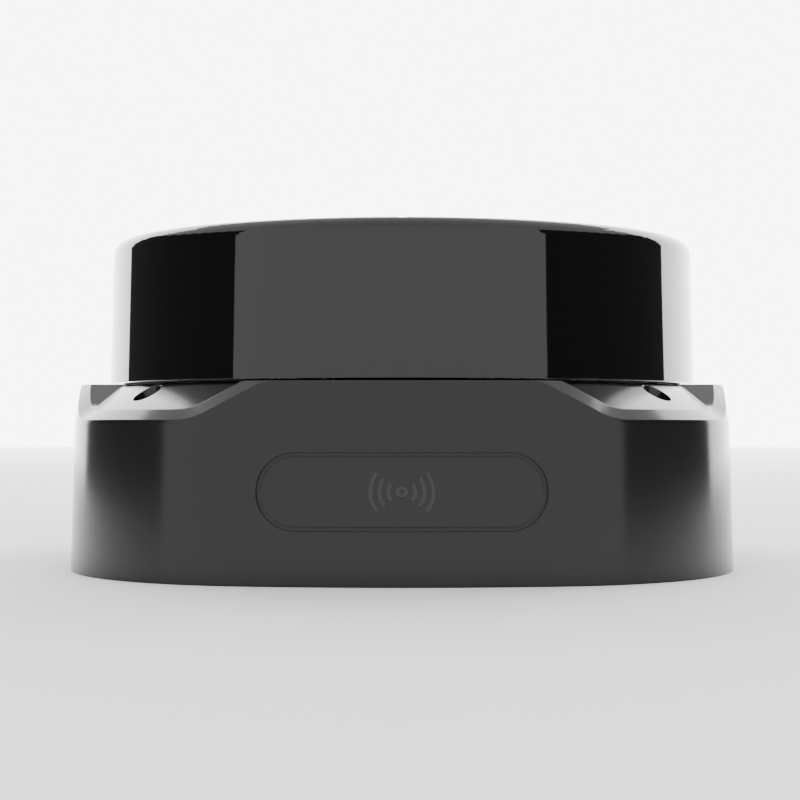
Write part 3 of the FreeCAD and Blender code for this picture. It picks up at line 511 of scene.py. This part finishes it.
def raised_bar(path, closed, mark, height):
    """A rounded bar on the front face, along a path of (x, z) points about the given height."""
    count = len(path)
    top = [(across, lift * mark.relief) for across, lift in BAR_TOP]
    section = [(-0.5, -mark.root), *top, (0.5, -mark.root)]
    vertices = []
    for i, (x, z) in enumerate(path):
        before = path[i - 1] if closed or i else path[i]
        after = path[(i + 1) % count] if closed or i < count - 1 else path[i]
        along = Vector((after[0] - before[0], after[1] - before[1])).normalized()
        for across, lift in section:
            px = x - along.y * across * mark.width
            pz = z + along.x * across * mark.width + height
            vertices.append((px, face_at(px, pz) - lift, pz))
    size = len(section)
    faces = []
    for i in range(count if closed else count - 1):
        j = (i + 1) % count
        for k in range(size):
            m = (k + 1) % size
            faces.append((i * size + k, j * size + k, j * size + m, i * size + m))
    if not closed:
        faces.append(tuple(range(size)))
        faces.append(tuple(reversed(range((count - 1) * size, count * size))))
    return vertices, faces


def arc(radius, start, end, steps):
    return [(radius * math.cos(turn), radius * math.sin(turn)) for turn in np.linspace(start, end, steps)]


# ---- stage pieces -------------------------------------------------------------------------------
def floor_sheet(colour):
    """A flat floor just under the base, wide enough to reach the horizon."""
    mesh = bpy.data.meshes.new("floor")
    corners = [(-1, -1), (1, -1), (1, 1), (-1, 1)]
    mesh.from_pydata([(x * FLOOR_REACH, y * FLOOR_REACH, 0) for x, y in corners], [], [(0, 1, 2, 3)])
    material = bpy.data.materials.new("floor paint")
    material.use_nodes = True
    shader = material.node_tree.nodes["Principled BSDF"]
    shader.inputs["Base Color"].default_value = (*colour, 1)
    shader.inputs["Roughness"].default_value = FLOOR_ROUGHNESS
    shader.inputs["Specular IOR Level"].default_value = FLOOR_SPECULAR
    mesh.materials.append(material)
    floor = bpy.data.objects.new("floor", mesh)
    bpy.context.scene.collection.objects.link(floor)
    floor.location.z = CAD_BOX[0][2] - FLOOR_GAP
    return floor


def glowing_card(name, start, end, radius, height, radiance, seen):
    """A curved card round the object that glows evenly; turns are degrees from the front."""
    turns = np.radians(np.linspace(start, end, CARD_COLUMNS))
    vertices = [(radius * math.sin(turn), -radius * math.cos(turn), level)
                for level in (0.0, height) for turn in turns]
    faces = [(i, i + 1, CARD_COLUMNS + i + 1, CARD_COLUMNS + i) for i in range(CARD_COLUMNS - 1)]
    mesh = bpy.data.meshes.new(name)
    mesh.from_pydata(vertices, [], faces)
    mesh.shade_smooth()
    material = bpy.data.materials.new(name)
    material.use_nodes = True
    tree = material.node_tree
    tree.nodes.remove(tree.nodes["Principled BSDF"])
    glow = add(tree, "ShaderNodeEmission", Strength=radiance)
    tree.links.new(glow.outputs["Emission"], tree.nodes["Material Output"].inputs["Surface"])
    mesh.materials.append(material)
    card = bpy.data.objects.new(name, mesh)
    bpy.context.scene.collection.objects.link(card)
    card.visible_camera = seen
    return card


# ---- operators ----------------------------------------------------------------------------------
class ScannerOperator:
    bl_options = {"REGISTER", "UNDO"}


class SCANNER_OT_shell(ScannerOperator, bpy.types.Operator):
    """Finish the base's outer shell: satin moulded plastic with softened edges"""
    bl_idname = "scanner.shell"
    bl_label = "Base shell"

    def execute(self, context):
        housing = context.scene.scanner_housing
        dress("base_housing", finish_material(
            "finish base_shell", tuple(housing.colour), housing.roughness, grain=3200.0, depth=0.0007,
            spread=0.04, dust=context.scene.scanner_finish.dust, specular=housing.specular,
            edge=housing.edge))
        return {"FINISHED"}


class SCANNER_OT_cover(ScannerOperator, bpy.types.Operator):
    """Finish the head's cover: polished black plastic"""
    bl_idname = "scanner.cover"
    bl_label = "Head cover"

    def execute(self, context):
        head = context.scene.scanner_head
        dress("head_cover", finish_material(
            "finish head_gloss", tuple(head.colour), head.roughness, grain=900.0, depth=0.00015,
            spread=0.01, dust=context.scene.scanner_finish.dust * COVER_DUST, edge=head.edge))
        return {"FINISHED"}


class SCANNER_OT_metal(ScannerOperator, bpy.types.Operator):
    """Finish the plate, screws, inserts, bearings, spindle and motor"""
    bl_idname = "scanner.metal"
    bl_label = "Metal parts"

    def execute(self, context):
        finish_nodes([
            "base_plate", "mounting_inserts", "corner_screws", "board_screws", "cover_screws", "shaft",
            "shaft_clip", "spindle_housing", "lower_outer_ring", "lower_inner_ring", "lower_balls",
            "lower_cage", "upper_outer_ring", "upper_inner_ring", "upper_balls", "upper_cage",
            "stator_core", "stator_windings", "magnet_ring", "rotor_bell"])
        return {"FINISHED"}


class SCANNER_OT_electronics(ScannerOperator, bpy.types.Operator):
    """Finish the boards, chips, connector, encoder and contactless links"""
    bl_idname = "scanner.electronics"
    bl_label = "Electronics"

    def execute(self, context):
        finish_nodes([
            "main_board", "board_chips", "rotor_board", "rotor_chips", "sensor_board", "sensor_chip",
            "connector_socket", "connector_pins", "photo_sensor", "encoder_comb", "base_coil",
            "base_ferrite", "head_coil", "head_ferrite", "light_sender", "light_receiver"])
        return {"FINISHED"}


class SCANNER_OT_optics(ScannerOperator, bpy.types.Operator):
    """Finish the lens tubes, lenses, bracket, balance weight and rotor platform"""
    bl_idname = "scanner.optics"
    bl_label = "Optics"

    def execute(self, context):
        finish_nodes([
            "rotor_platform", "optics_bracket", "laser_barrel", "laser_lens", "laser_diode",
            "receiver_barrel", "receiver_lens", "balance_weight"])
        return {"FINISHED"}


class SCANNER_OT_mark(ScannerOperator, bpy.types.Operator):
    """Build the scanning mark inside the capsule: a dot with arcs spreading to both sides"""
    bl_idname = "scanner.mark"
    bl_label = "Scanning mark"

    def execute(self, context):
        mark = context.scene.scanner_mark
        height = context.scene.scanner_housing.capsule_height
        strokes = [(arc(mark.dot_radius, 0, math.tau, DOT_STEPS)[:-1], True)]
        for pair in range(mark.arc_pairs):
            radius = mark.first_arc + pair * mark.arc_step
            for side in (0, math.pi):
                strokes.append((arc(radius, side - mark.reach, side + mark.reach, ARC_STEPS), False))
        vertices, faces = [], []
        for path, closed in strokes:
            bar_vertices, bar_faces = raised_bar(path, closed, mark, height)
            faces += [tuple(len(vertices) + i for i in face) for face in bar_faces]
            vertices += bar_vertices
        material = finish_material(
            "mark relief", tuple(mark.colour), mark.roughness, grain=5000.0, depth=0.001, spread=0.06)
        new_piece("scanning_mark", vertices, faces, material, "base")
        return {"FINISHED"}


class SCANNER_OT_stage(ScannerOperator, bpy.types.Operator):
    """Build the pale floor, the soft lights and the camera"""
    bl_idname = "scanner.stage"
    bl_label = "Stage"

    def execute(self, context):
        settings = context.scene.scanner_stage
        world = bpy.data.worlds.new("White room")
        world.use_nodes = True
        room = world.node_tree.nodes["Background"]
        room.inputs["Color"].default_value = (1, 1, 1, 1)
        room.inputs["Strength"].default_value = settings.room
        context.scene.world = world
        floor = floor_sheet(tuple(settings.floor))
        cards = [glowing_card(name, start, end, radius, height, getattr(settings, setting), seen)
                 for name, (start, end, radius, height, setting, seen) in CARDS.items()]
        data = bpy.data.cameras.new("camera")
        data.lens = settings.lens
        data.sensor_width = SENSOR_WIDTH
        data.clip_start = NEAREST
        camera = bpy.data.objects.new("camera", data)
        camera.location = (0, -settings.distance, settings.eye_height)
        camera.rotation_euler = (math.radians(90) + settings.rise, 0, settings.swing)
        context.scene.collection.objects.link(camera)
        context.scene.camera = camera
        return {"FINISHED"}


OPERATORS = [
    SCANNER_OT_shell, SCANNER_OT_cover, SCANNER_OT_metal, SCANNER_OT_electronics, SCANNER_OT_optics,
    SCANNER_OT_mark, SCANNER_OT_stage,
]


class SCANNER_PT_panel(bpy.types.Panel):
    """Every piece of the scanner and its settings"""
    bl_idname = "SCANNER_PT_panel"
    bl_label = "Scanner"
    bl_space_type = "VIEW_3D"
    bl_region_type = "UI"
    bl_category = "Scanner"

    def draw(self, context):
        for operator in OPERATORS:
            self.layout.operator(operator.bl_idname)
        for key, settings in SETTINGS.items():
            box = self.layout.box()
            box.label(text=key.removeprefix("scanner_").capitalize())
            for name in settings.__annotations__:
                box.prop(getattr(context.scene, key), name)


def register():
    for item in [*SETTINGS.values(), *OPERATORS, SCANNER_PT_panel]:
        bpy.utils.register_class(item)
    for key, settings in SETTINGS.items():
        setattr(bpy.types.Scene, key, bpy.props.PointerProperty(type=settings))


def unregister():
    for key in SETTINGS:
        delattr(bpy.types.Scene, key)
    for item in [SCANNER_PT_panel, *reversed(OPERATORS), *reversed(SETTINGS.values())]:
        bpy.utils.unregister_class(item)


def main():
    register()
    bpy.ops.scanner.shell()
    bpy.ops.scanner.cover()
    bpy.ops.scanner.metal()
    bpy.ops.scanner.electronics()
    bpy.ops.scanner.optics()
    bpy.ops.scanner.mark()
    bpy.ops.scanner.stage()


if __name__ == "__main__":
    main()
